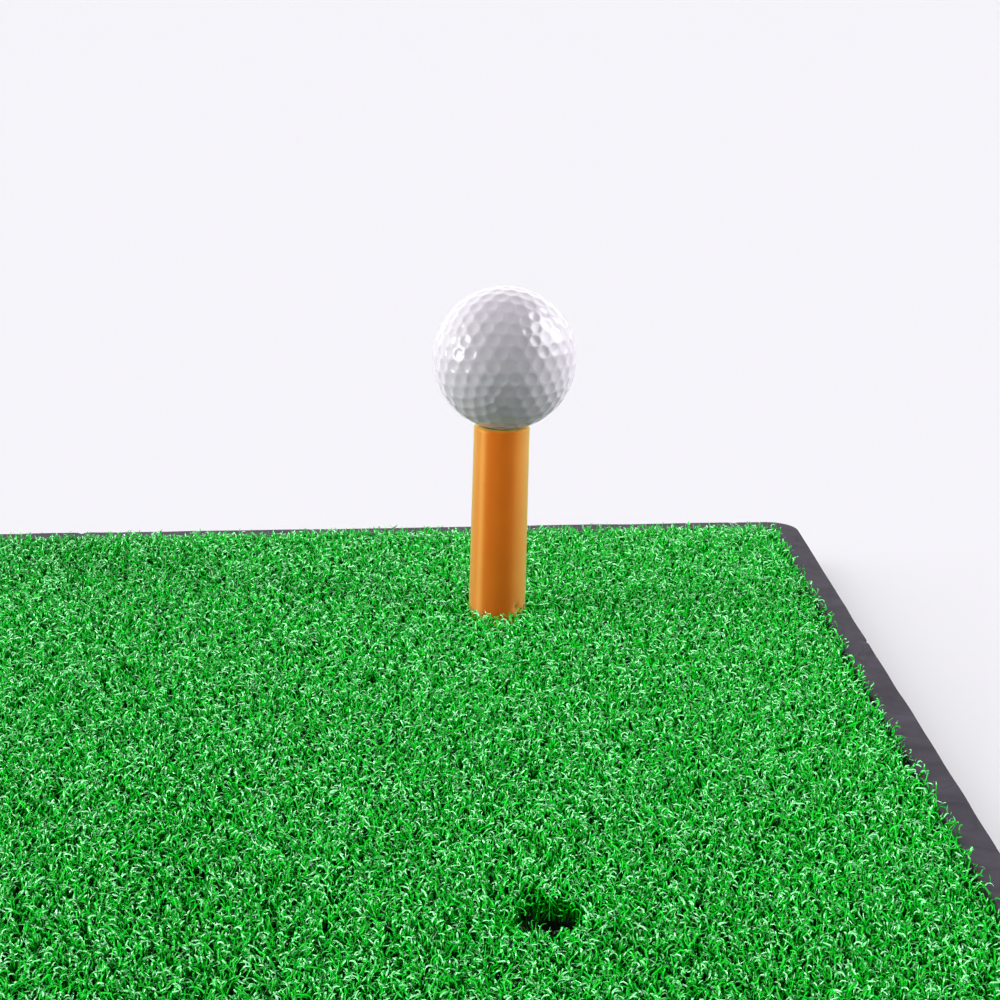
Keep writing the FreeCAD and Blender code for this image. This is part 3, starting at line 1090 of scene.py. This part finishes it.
# Fills on one piece alone: lamp, piece, direction, strength, spread
PIECE_FILLS = (
    ("tee_fill", "tee_skin", (-100.0, 15.0), 0.79, 60.0),
    ("ball_fill_left", "dimpled_ball", (152.0, -32.0), 0.50, 50.0),
    ("ball_fill_right", "dimpled_ball", (28.0, -32.0), 0.45, 50.0),
    ("ball_fill_front", "dimpled_ball", (-90.0, 60.0), 0.12, 50.0),
)
FLOOR_WASH_STRENGTH = 1.22
FLOOR_WASH_FROM_DEG = (0.0, 30.0)
FLOOR_WASH_SPREAD_DEG = 30.0
SKY_FRONT = 0.04
SKY_BACK = 1.5
SKY_TOP = 0.17
SKY_SEEN = 0.93
SKY_BACK_BAND = (-0.15, 0.55)
SKY_TOP_BAND = (0.62, 0.95)
SKY_TINT = (0.985, 0.98, 1.0, 1)


def make_floor():
    work = bmesh.new()
    bmesh.ops.create_grid(work, x_segments=1, y_segments=1, size=FLOOR_SIZE / 2)
    mesh = bpy.data.meshes.new("studio_floor")
    work.to_mesh(mesh)
    work.free()
    floor = link(bpy.data.objects.new("studio_floor", mesh))
    floor.location.z = -FLOOR_DROP
    mesh.materials.append(new_material("studio_floor", FLOOR_COLOR, 0.9, Specular_IOR_Level=0.0)[0])
    floor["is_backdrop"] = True
    return floor


def softbox(world, direction, azimuth, elevation, half_width, half_height, strength):
    """The sky's extra light from one rectangular softbox far away."""
    a, e = math.radians(azimuth), math.radians(elevation)
    middle = Vector((math.cos(e) * math.cos(a), math.cos(e) * math.sin(a), math.sin(e)))
    side = Vector((-math.sin(a), math.cos(a), 0))
    rise = middle.cross(side)
    facing = vector_math(world, "DOT_PRODUCT", direction, middle)
    inside = math_node(world, "GREATER_THAN", facing, 0.0)
    ahead = math_node(world, "MAXIMUM", facing, 0.01)
    for axis, half in ((side, half_width), (rise, half_height)):
        offset = math_node(world, "DIVIDE", vector_math(world, "DOT_PRODUCT", direction, axis), ahead)
        offset = math_node(world, "ABSOLUTE", offset)
        within = math_node(world, "LESS_THAN", offset, math.tan(math.radians(half)))
        inside = math_node(world, "MULTIPLY", inside, within)
    return math_node(world, "MULTIPLY", inside, strength)


def make_sky():
    """Dark in front, bright behind and dim overhead, with far softboxes, and plain to the camera."""
    world = bpy.data.worlds.new("studio_sky")
    bpy.context.scene.world = world
    world.use_nodes = True
    direction = add_node(world, "ShaderNodeTexCoord").outputs["Generated"]
    behind = vector_math(world, "DOT_PRODUCT", direction, (0, 1, 0))
    above = vector_math(world, "DOT_PRODUCT", direction, (0, 0, 1))
    level = remap(world, behind, SKY_BACK_BAND, (SKY_FRONT, SKY_BACK), "SMOOTHSTEP")
    overhead = remap(world, above, SKY_TOP_BAND, (0.0, 1.0), "SMOOTHSTEP")
    level = math_node(world, "MULTIPLY", level, math_node(world, "SUBTRACT", 1.0, overhead))
    level = math_node(world, "ADD", level, math_node(world, "MULTIPLY", overhead, SKY_TOP))
    for box in SOFTBOXES:
        level = math_node(world, "ADD", level, softbox(world, direction, *box))
    ray = add_node(world, "ShaderNodeLightPath")
    seen = add_node(world, "ShaderNodeMix")
    seen.data_type = "FLOAT"
    for index, value in ((0, ray.outputs["Is Camera Ray"]), (2, level), (3, SKY_SEEN)):
        feed(world, seen.inputs[index], value)
    background = world.node_tree.nodes["Background"]
    background.inputs["Color"].default_value = SKY_TINT
    connect(world, seen.outputs[0], background.inputs["Strength"])
    bpy.context.scene.view_settings.view_transform = "Standard"


def add_lamp(name, kind, energy, from_deg, distance, receivers):
    """A lamp aimed at the tee from a distance, flagged off everything but its receivers."""
    data = bpy.data.lights.new(name, kind)
    data.energy = energy
    lamp = link(bpy.data.objects.new(name, data))
    azimuth, elevation = (math.radians(angle) for angle in from_deg)
    level = math.cos(elevation)
    toward = Vector((level * math.cos(azimuth), level * math.sin(azimuth), math.sin(elevation)))
    lamp.location = TEE_PLACE + toward * distance
    lamp.rotation_euler = toward.to_track_quat("Z", "Y").to_euler()
    lamp.light_linking.receiver_collection = group_of(name + "_receivers", receivers)
    return lamp


def add_sun(name, strength, from_deg, spread_deg, receivers, blockers):
    """A broad far lamp for its receivers alone, which don't pass its light on to others."""
    sun = add_lamp(name, "SUN", strength, from_deg, 1.0, receivers)
    sun.data.angle = math.radians(spread_deg)
    sun.data.cycles.max_bounces = 0
    if blockers:
        sun.light_linking.blocker_collection = group_of(name + "_blockers", blockers)
    return sun


def add_box(name, from_deg, half_size_deg, radiance, receivers):
    """A rectangular lamp of a given brightness that looks that big from the tee."""
    width, height = (2 * BOX_DISTANCE * math.tan(math.radians(half)) for half in half_size_deg)
    box = add_lamp(name, "AREA", 4 * width * height * radiance, from_deg, BOX_DISTANCE, receivers)
    box.data.shape = "RECTANGLE"
    box.data.size = width
    box.data.size_y = height
    return box


def group_of(name, members):
    group = bpy.data.collections.new(name)
    for member in members:
        group.objects.link(member)
    return group


def make_lamps(patches, floor):
    """A softbox and a window, lamps for the turf alone, fills for a piece, and a wash for the floor."""
    subjects = [obj for obj in bpy.context.scene.objects if obj.type == "MESH" and obj != floor]
    add_box("left_softbox", LEFT_BOX_FROM_DEG, LEFT_BOX_HALF_SIZE_DEG, LEFT_BOX_RADIANCE, subjects)
    ball = [bpy.data.objects["dimpled_ball"]]
    window = add_box(
        "right_window", RIGHT_WINDOW_FROM_DEG, RIGHT_WINDOW_HALF_SIZE_DEG, RIGHT_WINDOW_RADIANCE, ball
    )
    window.visible_diffuse = False
    for name, from_deg, strength, spread, shaded in TURF_LAMPS:
        add_sun(name, strength, from_deg, spread, patches, None if shaded else patches)
    for name, piece, from_deg, strength, spread in PIECE_FILLS:
        members = [bpy.data.objects[piece]]
        add_sun(name, strength, from_deg, spread, members, members).visible_glossy = False
    wash = add_lamp("floor_wash", "SUN", FLOOR_WASH_STRENGTH, FLOOR_WASH_FROM_DEG, 1.0, [floor])
    wash.data.angle = math.radians(FLOOR_WASH_SPREAD_DEG)


def make_camera():
    data = bpy.data.cameras.new("camera")
    data.lens = CAMERA_LENS
    data.sensor_width = SENSOR_WIDTH
    data.clip_start = 0.01
    data.clip_end = 100.0
    camera = link(bpy.data.objects.new("camera", data))
    camera.location = CAMERA_PLACE
    turn = Matrix.Rotation(math.radians(CAMERA_YAW_DEG), 4, "Z")
    tip = Matrix.Rotation(math.radians(90 - CAMERA_PITCH_DEG), 4, "X")
    camera.rotation_euler = (turn @ tip).to_euler()
    bpy.context.scene.camera = camera


dress_cad_nodes()
make_tray()
make_woven_backing()
turf_patches = make_turf()
make_tee()
make_ball()
studio_floor = make_floor()
make_sky()
make_lamps(turf_patches, studio_floor)
make_camera()

rows = {"cad": cad_box, "visual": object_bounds()}
{name: [list(map(float, corner)) for corner in box] for name, box in rows.items()}
